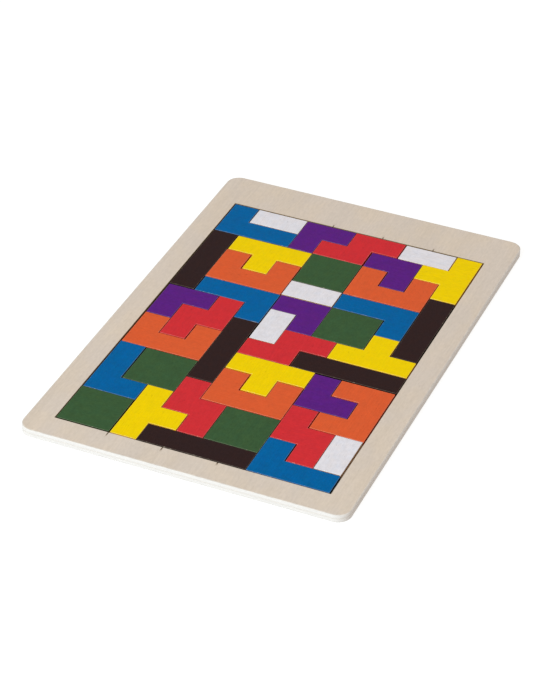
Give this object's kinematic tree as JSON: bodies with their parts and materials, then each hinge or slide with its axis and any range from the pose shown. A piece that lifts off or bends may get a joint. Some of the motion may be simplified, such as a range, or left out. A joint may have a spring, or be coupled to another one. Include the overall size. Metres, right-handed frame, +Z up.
{
  "type": "wooden puzzle",
  "caption": "Flat wooden packing puzzle: painted polyomino pieces laid side by side fill the rectangular pocket of a thin plywood tray with rounded corners.",
  "frame": {"origin": "centre of the tray's footprint, on its underside", "axes": "+X across the short side, +Y along the long side towards the wide end of the rim, +Z up out of the pocket"},
  "size_m": [0.1782, 0.2676, 0.0046],
  "materials": {
    "plywood": "bare sanded plywood",
    "blue_paint": "satin paint on plywood",
    "white_paint": "satin paint on plywood",
    "purple_paint": "satin paint on plywood",
    "red_paint": "satin paint on plywood",
    "yellow_paint": "satin paint on plywood",
    "orange_paint": "satin paint on plywood",
    "green_paint": "satin paint on plywood",
    "black_paint": "satin paint on plywood"
  },
  "bodies": {
    "root": {"tray_base": "plywood", "tray_frame": "plywood", "blue_ell_1": "blue_paint", "blue_ell_2": "blue_paint", "blue_ell_3": "blue_paint", "blue_ell_4": "blue_paint", "blue_ell_5": "blue_paint", "white_domino_1": "white_paint", "white_domino_2": "white_paint", "white_domino_3": "white_paint", "white_domino_4": "white_paint", "white_domino_5": "white_paint", "purple_corner_1": "purple_paint", "purple_corner_2": "purple_paint", "purple_corner_3": "purple_paint", "purple_corner_4": "purple_paint", "purple_corner_5": "purple_paint", "red_step_1": "red_paint", "red_step_2": "red_paint", "red_step_3": "red_paint", "red_step_4": "red_paint", "red_step_5": "red_paint", "yellow_tee_1": "yellow_paint", "yellow_tee_2": "yellow_paint", "yellow_tee_3": "yellow_paint", "yellow_tee_4": "yellow_paint", "yellow_tee_5": "yellow_paint", "orange_cup_1": "orange_paint", "orange_cup_2": "orange_paint", "orange_cup_3": "orange_paint", "orange_cup_4": "orange_paint", "orange_cup_5": "orange_paint", "green_square_1": "green_paint", "green_square_2": "green_paint", "green_square_3": "green_paint", "green_square_4": "green_paint", "green_square_5": "green_paint", "black_bar_1": "black_paint", "black_bar_2": "black_paint", "black_bar_3": "black_paint", "black_bar_4": "black_paint", "black_bar_5": "black_paint"}
  },
  "joints": []
}
